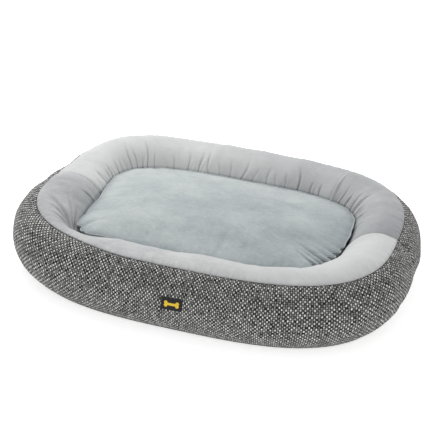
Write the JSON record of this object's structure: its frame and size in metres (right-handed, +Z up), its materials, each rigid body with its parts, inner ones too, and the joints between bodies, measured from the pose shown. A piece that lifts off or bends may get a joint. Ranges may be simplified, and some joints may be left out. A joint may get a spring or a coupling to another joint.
{
  "type": "pet cushion bed",
  "caption": "Oval bolster pet bed with a plush rim, a woven outer wall, a zip in the back and a loose plush cushion in the well.",
  "frame": {"origin": "on the floor, under the middle of the bed", "axes": "+X along the bed's length, +Z up, -Y towards the front wall with the label"},
  "size_m": [1.0996, 0.8621, 0.1958],
  "materials": {
    "tweed": "coarse black, grey and off-white basket weave",
    "rim_plush": "short brushed velvet pile, light grey",
    "cushion_plush": "short brushed velvet pile, cool grey",
    "filling": "loose white polyester fibre",
    "base_cloth": "plain weave with rubber grip dots",
    "lining": "plain grey lining cloth",
    "label_weave": "black woven label with a yellow bone motif",
    "zip_tape": "dark woven tape",
    "zip_coil": "dark nylon coil",
    "zip_metal": "dark lacquered die-cast metal"
  },
  "bodies": {
    "bed": {"tweed_wall_front": "tweed", "tweed_wall_back": "tweed", "rim_panel_front": "rim_plush", "rim_panel_back": "rim_plush", "bolster_fill": "filling", "base_panel": "base_cloth", "base_pad": "filling", "well_floor": "lining", "label": "label_weave", "zip_tape_upper": "zip_tape", "zip_tape_lower": "zip_tape", "zip_chain": "zip_coil", "zip_stop_closed": "zip_metal", "zip_stop_open": "zip_metal"},
    "zip_slider": {"zip_slider": "zip_metal"},
    "zip_pull": {"zip_pull": "zip_metal"},
    "cushion": {"cushion_top_panel": "cushion_plush", "cushion_bottom_panel": "cushion_plush", "cushion_welt": "cushion_plush", "cushion_fill": "filling"}
  },
  "joints": [
    {"name": "cushion_lift", "type": "slide", "parent": "bed", "child": "cushion", "axis": [0, 0, 1], "range_m": [0, 0.22]},
    {"name": "zip_slide", "type": "slide", "parent": "bed", "child": "zip_slider", "axis": [1, 0, 0], "range_m": [0, 0.2214]},
    {"name": "pull_swing", "type": "hinge", "parent": "zip_slider", "child": "zip_pull", "pos_m": [-0.1107, 0.42223, 0.04554], "axis": [0, 0.3897, 0.921], "range_deg": [0, 170]}
  ]
}
